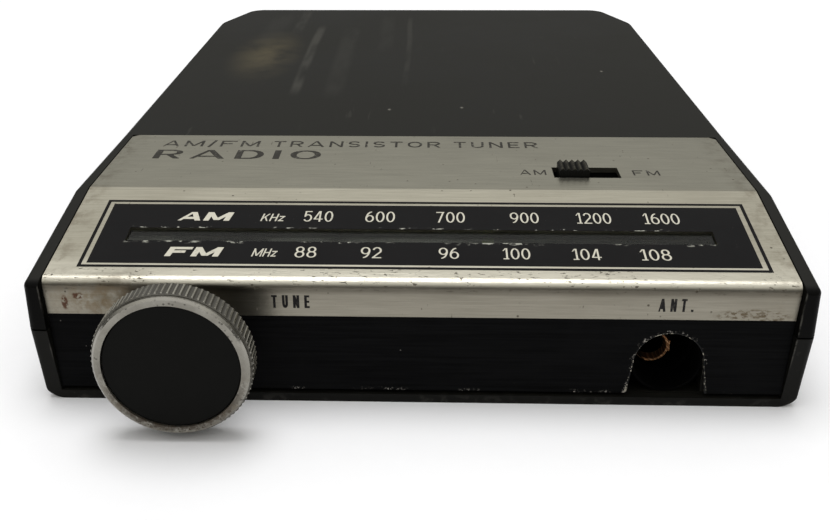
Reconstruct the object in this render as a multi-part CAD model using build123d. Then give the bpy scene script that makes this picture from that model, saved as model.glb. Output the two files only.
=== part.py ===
"""AM/FM radio tuner built in the shape of a 4-inch tape cartridge.

Millimetres. X runs across the front from left to right, Y runs from the knob at the front to the end
that goes into the player, Z is up. The origin is under the middle of the whole object, on the surface
that it stands on. While modelling, y is counted from the outer face of the front plate, and
export_all() moves every piece back by FACE_Y.
"""
from build123d import *
import math
import os

# ---- driving dimensions -------------------------------------------------------------------------
LENGTH = 147.0            # front plate face to the rear end
TOP = 22.0                # height of the cartridge body
SEAM = 11.0               # parting line between the two shells
DRAFT, LOWER_DRAFT = 1.2, 4.0   # degrees of mould draft away from the seam, above and below it
FRONT_HALF = 51.15        # half widths at the seam
REAR_HALF = 50.95
FLARE = (22.0, 47.0)      # the sides widen slightly towards the front between these y values
CHEEK_LEAD = 1.0          # the case sides stand this far in front of the plate
CORNER_X, CORNER_Y = 5.5, 15.6  # cut corners that guide the cartridge in
WALL, ROOF, FLOOR = 1.9, 2.0, 1.5
EDGE_R, SLOPE_EDGE_R = 1.0, 0.8   # rounding of the upper outer edges, and beside the sloping face
CHEEK_R, CHEEK_NOSE_R = 1.0, 1.5  # rounding of the cheeks' front corners, and of their upper front edges
PARTING_GAP = 0.13        # each shell stops this far from the seam
BASE_R = 3.0              # rounding along the lower sides
LIP_TOP = 1.3             # top of the sill below the front plate

PLATE_T = 0.8             # bent aluminium front plate
PLATE_HALF, PLATE_FOOT_HALF = 48.8, 48.1
PLATE_REAR, PLATE_BOTTOM = 45.5, 1.8
BEND_Y, NOSE_Z = 22.0, 18.0   # the plate slopes from the roof at BEND_Y down to NOSE_Z at the face
PLATE_GAP = 0.05

DIAL_X = 0.4              # centre of the printed dial
WINDOW = (80.2, 3.1, 11.95)   # dial window: length, width, distance of its centre down the slope
SWITCH_SLOT = (25.22, 29.05, 10.05, 4.3)   # centre x, y and size of the slot in the flat of the plate
SWITCH_TRAVEL = 4.0

KNOB_X, KNOB_R, KNOB_FRONT, KNOB_REAR, RIBS = -30.15, 10.1, -9.8, -6.2, 84
INLAY_R = 8.65
SHAFT_R = 2.0
CORD_R, CORD_Z, CORD_Y = 0.25, 13.25, 10.25
PULLEY_X, PULLEY_Y, PULLEY_R = 43.5, 13.25, 3.0
DRUM_X, DRUM_Y, DRUM_R = -6.0, 33.0, 16.0
POINTER_X = 9.6

SOCKET_X, SOCKET_Z, SOCKET_R = 33.0, 6.35, 4.4
BOSSES = [(-44.5, 28.0), (44.5, 28.0), (-44.5, 129.0), (44.5, 129.0)]
BOARD = (46.0, 16.5, 92.0, 3.2, 1.5)       # half width, y from, y to, underside, thickness
BATTERY = (-38.0, 99.5, 2.0, 48.5, 26.5, 17.5)   # low corner and size
DOOR = (-40.0, 98.5, 54.0, 28.5)           # opening: low x, low y, size
DOOR_HINGE = (-39.3, 0.75, 0.45)           # x and z of its hinge line, radius of the pins
POCKET = (22.0, 40.0, 3.0, 19.0, 6.0)      # capstan pocket: x from, to, z from, to, depth
HEAD_WINDOW = (20.0, 14.0)
PLUNGER_X, PLUNGER_R = 25.6, 1.5

FACE_Y = -(LENGTH + KNOB_FRONT) / 2
BOARD_TOP = BOARD[3] + BOARD[4]
SLOPE_ANGLE = math.degrees(math.atan2(TOP - NOSE_Z, BEND_Y))
SLOPE_COS = math.cos(math.radians(SLOPE_ANGLE))
SLOPE = Plane(origin=(0, BEND_Y, TOP), x_dir=(1, 0, 0),
              z_dir=(0, -math.sin(math.radians(SLOPE_ANGLE)), SLOPE_COS))
FAR = 200.0


# ---- helpers ------------------------------------------------------------------------------------
def block(x0, x1, y0, y1, z0, z1):
    """A box between two opposite corners."""
    return Pos((x0 + x1) / 2, (y0 + y1) / 2, (z0 + z1) / 2) * Box(abs(x1 - x0), abs(y1 - y0), abs(z1 - z0))


def rod_y(x, z, r, y0, y1):
    """A cylinder along Y."""
    return Pos(x, (y0 + y1) / 2, z) * Rot(90, 0, 0) * Cylinder(r, abs(y1 - y0))


def rod_x(y, z, r, x0, x1):
    """A cylinder along X."""
    return Pos((x0 + x1) / 2, y, z) * Rot(0, 90, 0) * Cylinder(r, abs(x1 - x0))


def rod_z(x, y, r, z0, z1):
    """A cylinder along Z."""
    return Pos(x, y, (z0 + z1) / 2) * Cylinder(r, abs(z1 - z0))


def on_slope(x0, x1, s0, s1, d0, d1):
    """A box on the sloping dial face: s runs down the slope from the bend, d is the depth under the surface."""
    return SLOPE * block(x0, x1, -s1, -s0, -d1, -d0)


def slope_z(y, depth=0.0):
    """Height of the sloping face at y, or of a surface that lies depth under it."""
    return NOSE_Z + y * (TOP - NOSE_Z) / BEND_Y - depth / SLOPE_COS


def side_prism(points, half, corner=0.0):
    """A closed profile in the YZ plane, drawn out to both sides. Its upper front corner is rounded by corner."""
    face = make_face(Polyline(*points, close=True))
    if corner:
        face = fillet(face.vertices().sort_by(Axis.X)[:2].sort_by(Axis.Y)[-1:], corner)
    return extrude(Plane.YZ * face, amount=half, both=True)


def front_prism(points, y0, y1, corner=0.0):
    """A closed profile in the XZ plane, between two y values. The two lowest corners are rounded by corner."""
    face = make_face(Polyline(*points, close=True))
    if corner:
        face = fillet(face.vertices().sort_by(Axis.Y)[:2], corner)
    return extrude(Plane.XZ.offset(-y1) * face, amount=y1 - y0)


def wire_run(points, radii, r):
    """A round wire of radius r along straight runs joined by arcs."""
    path = FilletPolyline(*points, radius=radii)
    start = Plane(origin=path @ 0, z_dir=path % 0)
    return sweep(start * Circle(r), path=path)


# ---- case ---------------------------------------------------------------------------------------
def case_outline(inset=0.0):
    """Plan of the case at the seam."""
    right = [
        (FRONT_HALF - inset, inset - CHEEK_LEAD),
        (FRONT_HALF - inset, FLARE[0]),
        (REAR_HALF - inset, FLARE[1]),
        (REAR_HALF - inset, LENGTH - CORNER_Y),
        (REAR_HALF - CORNER_X - inset, LENGTH - inset),
    ]
    left = [(-x, y) for x, y in reversed(right)]
    face = make_face(Polyline(*right, *left, close=True))
    face = fillet(face.vertices().filter_by(lambda v: v.Y > LENGTH - inset - 1), 5.0)
    face = fillet(face.vertices().filter_by(lambda v: abs(v.Y - LENGTH + CORNER_Y) < 1), 8.0)
    sides = face.vertices().filter_by(lambda v: FLARE[0] - 1 < v.Y < FLARE[1] + 1)
    face = fillet(sides, 40)
    front = face.vertices().filter_by(lambda v: v.Y < inset - CHEEK_LEAD + 0.01)
    return fillet(front, CHEEK_R)


def roof_profile(depth, y0=-5.0):
    """Side view of everything below the roof and the sloping face, less depth."""
    bend = BEND_Y + depth * math.tan(math.radians(SLOPE_ANGLE / 2))
    return [(y0, 0), (y0, slope_z(y0, depth)), (bend, TOP - depth), (FAR, TOP - depth), (FAR, 0)]


def plate_recess():
    """The space that the bent front plate and its clearance take out of both shells."""
    depth = PLATE_T + PLATE_GAP
    half = PLATE_HALF + 0.2
    above = side_prism([(-5, 40), (-5, slope_z(-5, depth)), (BEND_Y, TOP - depth),
                        (PLATE_REAR + 0.1, TOP - depth), (PLATE_REAR + 0.1, 40)], half)
    bend_relief = side_prism([(0, 15.5), (0, TOP - 1), (5.3, TOP - 1)], half)
    right = [(half, 30), (half, NOSE_Z), (PLATE_FOOT_HALF + 0.2, LIP_TOP)]
    left = [(-x, z) for x, z in reversed(right)]
    return above + bend_relief + front_prism(right + left, -5.0, depth)


def pocket_block(grow):
    """The capstan pocket in the rear end, or with grow its walls."""
    x0, x1, z0, z1, depth = POCKET
    return block(x0 - grow, x1 + grow, LENGTH - depth - grow, LENGTH + 1, z0 - grow, z1 + grow)


def shared_cuts():
    """Openings that both shells meet in."""
    w, h = HEAD_WINDOW
    shaft_hole = rod_y(KNOB_X, SEAM, 3.8, -5, 3.2)
    socket_hole = rod_y(SOCKET_X, SOCKET_Z, SOCKET_R + 0.4, -5, 3.0)
    plunger_hole = rod_y(PLUNGER_X, SEAM, PLUNGER_R + 0.1, LENGTH - 9, LENGTH - 5)
    head = block(-w / 2, w / 2, LENGTH - 5, LENGTH + 1, SEAM - h / 2, SEAM + h / 2)
    return shaft_hole + socket_hole + plunger_hole + head + pocket_block(0)


def make_upper_shell():
    block_shape = extrude(Pos(0, 0, SEAM) * case_outline(), amount=TOP - SEAM, taper=DRAFT)
    sloped = block_shape & side_prism(roof_profile(0), 60)
    slope_edges = sloped.edges().filter_by(
        lambda e: e.center().Y < BEND_Y - 0.1 and e.center().Z > SEAM + 1 and abs(e.tangent_at(0.5).Z) < 0.5)
    body = fillet(slope_edges, SLOPE_EDGE_R) & fillet(block_shape.edges().group_by(Axis.Z)[-1], EDGE_R)
    body &= side_prism(roof_profile(0, -CHEEK_LEAD), 60, CHEEK_NOSE_R)
    cavity = extrude(case_outline(WALL), amount=TOP) & side_prism(roof_profile(ROOF), 60)
    cavity &= block(-60, 60, 2.6, LENGTH, -1, TOP)
    body -= cavity - pocket_block(1.5)
    for x, y in BOSSES:
        body += rod_z(x, y, 3.0, SEAM + 0.1, TOP - ROOF + 0.4)
        body -= rod_z(x, y, 1.32, SEAM - 1, TOP - 4)
    for side in (-1, 1):
        body += on_slope(side * 42.6, side * 44.6, 9.0, 15.0, ROOF - 0.4, 3.38)
    body -= plate_recess() + shared_cuts()
    length, width, s = WINDOW
    body -= on_slope(-length / 2 - 1.5, length / 2 + 1.5, s - 3.0, s + 3.0, 0.8, 1.4)
    body -= on_slope(-length / 2 - 0.6, length / 2 + 0.6, s - 2.0, s + 2.0, 0.8, 4.0)
    x, y, w, h = SWITCH_SLOT
    body -= block(x - w / 2 - 0.3, x + w / 2 + 0.3, y - h / 2 - 0.3, y + h / 2 + 0.3, TOP - 4, TOP)
    scallop_r = 60.0
    body -= rod_z(31.0, LENGTH + scallop_r - 1.0, scallop_r, SEAM, TOP + 1)
    return body & block(-60, 60, -10, FAR, SEAM + PARTING_GAP, TOP + 1)


def make_lower_shell():
    body = extrude(Pos(0, 0, SEAM) * case_outline(), amount=-SEAM, taper=LOWER_DRAFT)
    half = FRONT_HALF - SEAM * math.tan(math.radians(LOWER_DRAFT))
    rounded = front_prism([(60, SEAM), (FRONT_HALF + 1, SEAM), (half, 0), (-half, 0),
                           (-FRONT_HALF - 1, SEAM), (-60, SEAM), (-60, 30), (60, 30)], -5, FAR, BASE_R)
    body &= rounded
    cavity = extrude(case_outline(WALL), amount=TOP) & block(-60, 60, 2.6, LENGTH, FLOOR, TOP)
    body -= cavity - pocket_block(1.5)
    for x, y in BOSSES:
        body += rod_z(x, y, 3.0, FLOOR - 0.5, SEAM - 0.1)
        body += rod_z(x, y, 4.2, FLOOR - 0.5, FLOOR + 1.0)
        body -= rod_z(x, y, 1.45, -1, SEAM + 1)
        body -= rod_z(x, y, 2.7, -1, 1.9)
    for x in (-38.0, 38.0):
        for y in (22.0, 86.0):
            body += rod_z(x, y, 2.2, FLOOR - 0.5, BOARD[3])
    body -= plate_recess() + shared_cuts()
    body -= block(SOCKET_X - SOCKET_R - 0.4, SOCKET_X + SOCKET_R + 0.4, -0.2, 3.0, FLOOR, SOCKET_Z)
    x, y, w, h = DOOR
    hinge_x, hinge_z, pin_r = DOOR_HINGE
    body += block(x - 2, x + 3, y - 3, y + h + 3, FLOOR - 0.2, FLOOR + 0.8)
    body -= block(x, x + w, y, y + h, -1, FLOOR + 1)
    body -= rod_y(hinge_x, hinge_z, pin_r + 0.05, y - 1.1, y + h + 1.1)
    return body & block(-60, 60, -10, FAR, -1, SEAM - PARTING_GAP)


def make_battery_door():
    """Flush door with a rounded hinge edge, two pins, finger ridges and a latch tongue."""
    x, y, w, h = DOOR
    hinge_x, hinge_z, pin_r = DOOR_HINGE
    gap = 0.15
    door = block(hinge_x, x + w - gap, y + gap, y + h - gap, hinge_z - 0.6, hinge_z + 0.6)
    door += rod_y(hinge_x, hinge_z, 0.6, y + gap, y + h - gap)
    door += rod_y(hinge_x, hinge_z, pin_r, y - 1.0, y + h + 1.0)
    door += block(x + w - 0.9, x + w - gap, y + 9, y + h - 9, hinge_z, 3.6)
    for step in range(5):
        door -= block(x + w - 12 + 1.6 * step, x + w - 11.2 + 1.6 * step, y + 9, y + h - 9, 0, 0.45)
    return door


def make_case_screws():
    screws = []
    for x, y in BOSSES:
        screw = rod_z(x, y, 2.45, 0.5, 1.85) + rod_z(x, y, 1.3, 1.8, 17.0)
        screw -= block(x - 1.7, x + 1.7, y - 0.3, y + 0.3, 0.4, 1.2)
        screw -= block(x - 0.3, x + 0.3, y - 1.7, y + 1.7, 0.4, 1.2)
        screws.append(screw)
    return screws


# ---- front plate and dial -----------------------------------------------------------------------
def make_front_plate():
    inner_bend = BEND_Y + PLATE_T * math.tan(math.radians(SLOPE_ANGLE / 2))
    plate = side_prism([(PLATE_REAR, TOP), (BEND_Y, TOP), (0, NOSE_Z), (0, PLATE_BOTTOM),
                        (PLATE_T, PLATE_BOTTOM), (PLATE_T, slope_z(PLATE_T, PLATE_T)),
                        (inner_bend, TOP - PLATE_T), (PLATE_REAR, TOP - PLATE_T)], PLATE_HALF)
    nose = plate.edges().filter_by(Axis.X).filter_by(lambda e: abs(e.center().Z - NOSE_Z) < 1.0)
    plate = fillet(nose.sort_by(Axis.Y)[0:1], 1.4)
    inside = plate.edges().filter_by(Axis.X).filter_by(
        lambda e: abs(e.center().Y - PLATE_T) < 0.01 and e.center().Z > 15)
    plate = fillet(inside, 0.6)
    right = [(PLATE_HALF, 30), (PLATE_HALF, NOSE_Z), (PLATE_FOOT_HALF, PLATE_BOTTOM)]
    left = [(-x, z) for x, z in reversed(right)]
    plate &= front_prism(right + left, -5, FAR, 1.2)
    rear = plate.edges().filter_by(Axis.Z).filter_by(lambda e: e.center().Y > PLATE_REAR - 0.1)
    plate = chamfer(rear, 0.9)
    length, width, s = WINDOW
    plate -= on_slope(-length / 2, length / 2, s - width / 2, s + width / 2, -1, 2)
    x, y, w, h = SWITCH_SLOT
    plate -= block(x - w / 2, x + w / 2, y - h / 2, y + h / 2, TOP - 2, TOP + 1)
    plate -= rod_y(KNOB_X, SEAM, 3.8, -1, 2)
    arch_r = SOCKET_R + 0.2
    plate -= rod_y(SOCKET_X, SOCKET_Z, arch_r, -1, 2)
    legs = [(SOCKET_X - arch_r, SOCKET_Z), (SOCKET_X + arch_r, SOCKET_Z), (SOCKET_X + 5.4, 0),
            (SOCKET_X - 5.4, 0)]
    return plate - front_prism(legs, -1, 2)


def make_dial_lens():
    length, width, s = WINDOW
    lens = on_slope(-length / 2 - 1.4, length / 2 + 1.4, s - 2.9, s + 2.9, 0.86, 1.36)
    return lens + on_slope(-length / 2 + 0.12, length / 2 - 0.12, s - width / 2 + 0.12, s + width / 2 - 0.12,
                           0.35, 1.0)


def make_dial_backplate():
    s = WINDOW[2]
    return on_slope(-44.4, 44.4, s - 3.4, s + 3.4, 3.4, 3.9)


def make_dial_pointer():
    x, s = POINTER_X, WINDOW[2]
    half = 0.8
    pointer = on_slope(x - half, x + half, s - 3.2, s + 4.6, 2.3, 3.1)
    pointer += on_slope(x - half, x + half, s + 3.7, s + 4.6, 2.3, 4.9)
    pointer += on_slope(x - half, x + half, s - 1.5, s + 4.6, 4.2, 4.9)
    pointer += block(x - 1.4, x + 1.4, CORD_Y - 1.1, CORD_Y + 1.1, CORD_Z - 0.9, slope_z(CORD_Y, 4.4))
    return pointer - rod_x(CORD_Y, CORD_Z, CORD_R + 0.2, x - 3, x + 3)


# ---- tuning drive -------------------------------------------------------------------------------
def make_tuning_knob():
    half_section = [(2.02, -8.7), (KNOB_R - 0.45, -8.7), (KNOB_R - 0.45, KNOB_FRONT)]
    ring = rod_y(0, 0, KNOB_R, KNOB_FRONT + 0.7, KNOB_REAR)
    ring = chamfer(ring.edges().filter_by(GeomType.CIRCLE), 0.2)
    grooves = [Rot(0, 360 / RIBS * i, 0) * rod_y(KNOB_R + 0.12, 0, 0.31, KNOB_FRONT - 1, KNOB_REAR + 1)
               for i in range(RIBS)]
    ring -= grooves
    lip = rod_y(0, 0, KNOB_R - 0.32, KNOB_FRONT, KNOB_FRONT + 1)
    ring += chamfer(lip.edges().filter_by(GeomType.CIRCLE).sort_by(Axis.Y)[:1], 0.28)
    ring -= rod_y(0, 0, INLAY_R + 0.05, KNOB_FRONT - 1, -8.75)
    ring += rod_y(0, 0, 4.6, KNOB_REAR - 0.5, -1.9)
    ring -= rod_y(0, 0, SHAFT_R + 0.02, -8.8, 0)
    return Pos(KNOB_X, 0, SEAM) * ring


def make_knob_inlay():
    disc = rod_y(KNOB_X, SEAM, INLAY_R, KNOB_FRONT + 0.25, -8.78)
    rim = disc.edges().filter_by(GeomType.CIRCLE).sort_by(Axis.Y)[0:1]
    return fillet(rim, 0.2)


def make_tuning_shaft():
    shaft = rod_y(KNOB_X, SEAM, SHAFT_R, -8.7, 17.2)
    shaft -= rod_y(KNOB_X, SEAM, 3, CORD_Y - 1.3, CORD_Y + 1.3) - rod_y(KNOB_X, SEAM, 1.9, 0, 20)
    return shaft - (rod_y(KNOB_X, SEAM, 3, 15.75, 16.45) - rod_y(KNOB_X, SEAM, 1.5, 0, 20))


def make_shaft_clip():
    clip = rod_y(KNOB_X, SEAM, 3.4, 15.85, 16.35) - rod_y(KNOB_X, SEAM, 1.55, 15, 17)
    return clip - block(KNOB_X - 1.1, KNOB_X + 1.1, 15, 17, SEAM - 5, SEAM)


def make_shaft_bushing():
    bushing = rod_y(KNOB_X, SEAM, 3.5, -1.5, 8.0) + rod_y(KNOB_X, SEAM, 5.0, 2.75, 3.3)
    return bushing - rod_y(KNOB_X, SEAM, SHAFT_R + 0.05, -3, 9)


def make_bushing_nut():
    hexagon = extrude(Plane.XZ.offset(-6.6) * RegularPolygon(5.6, 6), amount=2.0)
    return Pos(KNOB_X, 0, SEAM) * hexagon - rod_y(KNOB_X, SEAM, 3.55, 4, 7)


def make_shaft_bracket():
    x0, x1 = KNOB_X - 6.5, KNOB_X + 6.5
    bracket = block(x0, x1, 3.35, 4.55, FLOOR + 0.05, 16.0) + block(x0, x1, 14.4, 15.6, FLOOR + 0.05, 15.0)
    bracket += block(x0, x1, 3.35, 15.6, FLOOR + 0.05, FLOOR + 1.25)
    bracket -= rod_y(KNOB_X, SEAM, 3.55, 3, 5)
    return bracket - rod_y(KNOB_X, SEAM, SHAFT_R + 0.06, 13, 17)


def belt_arcs():
    """The cord loop as circles in order, each with the angles at which the cord meets and leaves it."""
    circles = [(PULLEY_X, PULLEY_Y, PULLEY_R), (DRUM_X, DRUM_Y, DRUM_R), (-PULLEY_X, PULLEY_Y, PULLEY_R)]
    normals = []
    for (xa, ya, ra), (xb, yb, rb) in zip(circles, circles[1:] + circles[:1]):
        heading = math.atan2(yb - ya, xb - xa)
        normals.append(math.degrees(heading - math.acos((ra - rb) / math.hypot(xb - xa, yb - ya))))
    return [(c, normals[i - 1], normals[i]) for i, c in enumerate(circles)]


def make_dial_cord():
    """A loop over the two pulleys and the drum, two turns on the shaft, and one more turn on the drum."""
    edges, joints = [], []
    for (x, y, r), arrive, leave in belt_arcs():
        sweep_angle = (leave - arrive) % 360
        ends = [Vector(x + r * math.cos(math.radians(a)), y + r * math.sin(math.radians(a)), CORD_Z)
                for a in (arrive, arrive + sweep_angle / 2, arrive + sweep_angle)]
        edges.append(ThreePointArc(*ends))
        joints.append((ends[0], ends[2]))
    for i, (_, left) in enumerate(joints):
        edges.append(Line(left, joints[(i + 1) % len(joints)][0]))
    cord = Part()
    for edge in edges:
        start = Plane(origin=edge @ 0, z_dir=edge % 0)
        cord += sweep(start * Circle(CORD_R), path=edge)
    for side in (-1, 1):
        cord += Pos(KNOB_X, CORD_Y + 0.35 * side, SEAM) * Rot(90, 0, 0) * Torus(SHAFT_R + CORD_R, CORD_R)
    return [cord, Pos(DRUM_X, DRUM_Y, CORD_Z - 0.55) * Torus(DRUM_R, CORD_R)]


def grooved_wheel(x, y, flange_r, groove_r, bore_r, z0, z1, groove_z0, groove_z1):
    """A wheel on a vertical axis with a square groove for the cord."""
    wheel = rod_z(x, y, flange_r, z0, z1)
    wheel -= rod_z(x, y, flange_r + 1, groove_z0, groove_z1) - rod_z(x, y, groove_r, z0, z1)
    return wheel - rod_z(x, y, bore_r, z0 - 1, z1 + 1)


def make_idler_pulley(side):
    return grooved_wheel(side * PULLEY_X, PULLEY_Y, 4.0, PULLEY_R - CORD_R - 0.05, 1.05, 12.1, 14.4, 12.8, 13.7)


def make_pulley_posts():
    posts = []
    for side in (-1, 1):
        x = side * PULLEY_X
        post = rod_z(x, PULLEY_Y, 2.0, FLOOR + 0.02, 12.0) + rod_z(x, PULLEY_Y, 1.0, 12.0, 15.2)
        posts.append(post + rod_z(x, PULLEY_Y, 1.6, 14.6, 15.2))
    return posts


def make_dial_drum():
    drum = grooved_wheel(DRUM_X, DRUM_Y, 16.9, DRUM_R - CORD_R - 0.05, 3.02, 11.7, 14.6, 12.35, 13.95)
    drum -= rod_z(DRUM_X, DRUM_Y, 14.0, 12.6, 16) - rod_z(DRUM_X, DRUM_Y, 5.0, 11, 16)
    for angle in (60, 180, 300):
        drum -= Pos(DRUM_X, DRUM_Y, 12) * Rot(0, 0, angle) * Pos(9.5, 0, 0) * Cylinder(2.6, 4)
    return drum


def make_cord_spring():
    """Close-wound tension spring lying in the drum, drawn as its ribbed outline with an eye at each end."""
    x0, x1, y, z, wire = DRUM_X - 4.4, DRUM_X + 4.4, DRUM_Y + 9.4, 13.75, 0.2
    spring = rod_x(y, z, 0.8, x0, x1)
    turns = int((x1 - x0) / (2 * wire))
    for i in range(turns + 1):
        spring += Pos(x0 + 2 * wire * i, y, z) * Rot(0, 90, 0) * Torus(0.8, wire)
    spring -= rod_x(y, z, 0.45, x0 - 1, x1 + 1)
    for x, away in ((x0, -1), (x1, 1)):
        spring += Pos(x + away * 0.85, y, z) * Torus(0.8, wire)
    return spring


def make_capacitor_spindle():
    return rod_z(DRUM_X, DRUM_Y, 3.0, BOARD_TOP + 6.8, 15.2) - block(
        DRUM_X - 0.4, DRUM_X + 0.4, DRUM_Y - 3, DRUM_Y + 3, 14.6, 16)


def make_tuning_capacitor():
    body = block(DRUM_X - 10, DRUM_X + 10, DRUM_Y - 10, DRUM_Y + 10, BOARD_TOP + 0.02, BOARD_TOP + 6.7)
    body = fillet(body.edges().filter_by(Axis.Z), 1.5)
    for dx in (-7, 7):
        for dy in (-7, 7):
            body -= rod_z(DRUM_X + dx, DRUM_Y + dy, 1.0, BOARD_TOP + 5.2, BOARD_TOP + 8)
    return body


# ---- band switch --------------------------------------------------------------------------------
def make_switch_button():
    x0, x1, y0, y1, top = 21.0, 25.5, 27.15, 31.0, TOP + 1.4
    button = block(x0, x1, y0, y1, 18.5, top)
    pitch = (x1 - x0) / 5
    for i in range(6):
        notch = Pos(x0 + pitch * i, (y0 + y1) / 2, top) * Rot(0, 45, 0) * Box(0.62, 8, 0.62)
        button -= notch
    return button + block(19.6, 26.9, 25.9, 32.2, 16.2, 18.6)


def make_switch_frame():
    frame = block(16.2, 34.3, 24.6, 33.5, 14.6, 19.85)
    frame -= block(18.9, 31.7, 25.6, 32.5, 15.3, 19.0)
    frame -= block(20.3, 30.3, 26.7, 31.5, 18, 21)
    return frame + [block(x - 0.4, x + 0.4, y - 0.2, y + 0.2, 13.8, 14.7)
                    for x in (19.5, 25.2, 30.9) for y in (27.0, 31.0)]


# ---- electronics --------------------------------------------------------------------------------
def make_circuit_board():
    half, y0, y1, z, t = BOARD
    board = block(-half, half, y0, y1, z, z + t)
    for x, y in BOSSES[:2]:
        board -= rod_z(x, y, 3.3, 0, 20)
    return board


def make_if_transformers():
    places = [(-36, 58), (-22, 58), (-8, 58), (6, 58), (-29, 70), (-15, 70), (-1, 70)]
    cans = []
    for x, y in places:
        can = block(x - 3.75, x + 3.75, y - 3.75, y + 3.75, BOARD_TOP + 0.02, BOARD_TOP + 9.5)
        can = fillet(can.edges().filter_by(Axis.Z), 0.6)
        cans.append(can - rod_z(x, y, 1.9, BOARD_TOP + 8.7, BOARD_TOP + 12))
    return cans


def make_tuning_cores():
    places = [(-36, 58), (-22, 58), (-8, 58), (6, 58), (-29, 70), (-15, 70), (-1, 70)]
    cores = []
    for x, y in places:
        core = rod_z(x, y, 1.8, BOARD_TOP + 8.75, BOARD_TOP + 9.4)
        cores.append(core - block(x - 1.2, x + 1.2, y - 0.25, y + 0.25, BOARD_TOP + 9.0, BOARD_TOP + 10))
    return cores


def make_ferrite_rod():
    return rod_x(84.0, 11.0, 3.9, -38, 22)


def make_antenna_coil():
    coil = rod_x(84.0, 11.0, 4.7, -30, -12) - rod_x(84.0, 11.0, 3.95, -31, -11)
    for i in range(17):
        coil += Pos(-29 + i, 84.0, 11.0) * Rot(0, 90, 0) * Torus(4.7, 0.3)
    return coil


def make_rod_holders():
    holders = []
    for x in (-35.0, 18.0):
        holder = block(x - 1.5, x + 1.5, 79.0, 89.0, BOARD_TOP + 0.02, 13.0)
        holders.append(holder - rod_x(84.0, 11.0, 3.95, x - 5, x + 5))
    return holders


def make_electrolytic_capacitors():
    places = [(20, 44, 3.0), (28, 44, 3.0), (36, 44, 2.5), (20, 56, 3.4), (30, 56, 3.4), (40, 66, 3.0)]
    caps = []
    for x, y, r in places:
        can = rod_z(x, y, r, BOARD_TOP + 0.02, BOARD_TOP + 9.0)
        rim = can.edges().filter_by(GeomType.CIRCLE).sort_by(Axis.Z)[-1:]
        caps.append(fillet(rim, 0.6))
    return caps


def make_transistors():
    places = [(-40, 48), (-32, 48), (-40, 38), (16, 66), (24, 66), (32, 76), (-40, 68)]
    cases = []
    for x, y in places:
        case = rod_z(x, y, 2.4, BOARD_TOP + 2.0, BOARD_TOP + 7.0) & block(x - 3, x + 3, y - 3, y + 1.2, 0, 20)
        for dx in (-1.27, 0, 1.27):
            case += block(x + dx - 0.2, x + dx + 0.2, y - 0.2, y + 0.2, BOARD_TOP + 0.02, BOARD_TOP + 2.2)
        cases.append(case)
    return cases


def make_resistors():
    places = [(-34, 22), (-34, 27), (16, 24), (16, 32), (16, 36), (40, 36), (26, 88), (38, 84), (-24, 50.5)]
    bodies = []
    for x, y in places:
        body = rod_x(y, BOARD_TOP + 1.3, 1.0, x - 3, x + 3) + rod_x(y, BOARD_TOP + 1.3, 0.3, x - 4.5, x + 4.5)
        for end in (x - 4.5, x + 4.5):
            body += rod_z(end, y, 0.36, BOARD_TOP + 0.02, BOARD_TOP + 1.8)
        bodies.append(body)
    return bodies


def make_ceramic_capacitors():
    places = [(38, 22), (28, 22), (38, 56), (12, 76), (-10, 76), (-24, 42), (-24, 24), (34, 90)]
    discs = []
    for x, y in places:
        disc = rod_y(x, BOARD_TOP + 4.4, 2.8, y - 0.8, y + 0.8)
        for dx in (-1.5, 1.5):
            disc += rod_z(x + dx, y, 0.3, BOARD_TOP + 0.02, BOARD_TOP + 3.0)
        discs.append(disc)
    return discs


def make_antenna_socket():
    body = rod_y(SOCKET_X, SOCKET_Z, SOCKET_R + 0.35, 0.95, 3.2)
    body += block(SOCKET_X - 5.6, SOCKET_X + 5.6, 3.05, 14.6, FLOOR + 0.02, 11.6)
    body -= rod_y(SOCKET_X, SOCKET_Z, SOCKET_R, 0, 5.2)
    return body - rod_y(SOCKET_X, SOCKET_Z, SOCKET_R - 0.4, 4, 13.2)


def make_socket_contact():
    """Sprung bronze eye that grips the centre pin of an aerial plug, with a tag that runs to the rear."""
    x, z = SOCKET_X - 1.1, SOCKET_Z - 0.5
    eye = rod_y(x, z, 2.35, 5.4, 7.0) - rod_y(x, z, 2.05, 5, 8)
    eye -= Pos(x, 6.2, z) * Rot(0, 30, 0) * Pos(-2, 0, 2) * Box(2.4, 3, 2.4)
    return eye + block(x + 2.1, x + 2.5, 5.4, 13.15, z - 0.8, z + 0.8)


def make_coupling_head():
    w, h = HEAD_WINDOW
    head = block(-w / 2 + 0.2, w / 2 - 0.2, LENGTH - 9, LENGTH - 0.5, SEAM - h / 2 + 0.2, SEAM + h / 2 - 0.2)
    head = fillet(head.edges().filter_by(Axis.Z).sort_by(Axis.Y)[-2:], 2.0)
    return head - block(-0.15, 0.15, LENGTH - 1.2, LENGTH, SEAM - 5, SEAM + 5)


def make_head_bracket():
    bracket = block(-12.5, 12.5, LENGTH - 11, LENGTH - 9.05, FLOOR + 0.02, SEAM + 6)
    return bracket + block(-12.5, 12.5, LENGTH - 16, LENGTH - 9.05, FLOOR + 0.02, FLOOR + 1.2)


def make_battery():
    x, y, z, length, width, height = BATTERY
    cell = fillet(block(x, x + length - 2.5, y, y + width, z, z + height).edges().filter_by(Axis.X), 2.5)
    for dy, r in ((width / 2 - 6.35, 2.8), (width / 2 + 6.35, 3.4)):
        cell += rod_x(y + dy, z + height / 2, r, x + length - 2.6, x + length)
    return cell


def make_battery_connector():
    x, y, z, length, width, height = BATTERY
    x0 = x + length + 0.05
    cap = block(x0, x0 + 2.4, y + 1.5, y + width - 1.5, z + 3, z + height - 3)
    return fillet(cap.edges().filter_by(Axis.X), 3.0)


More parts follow.
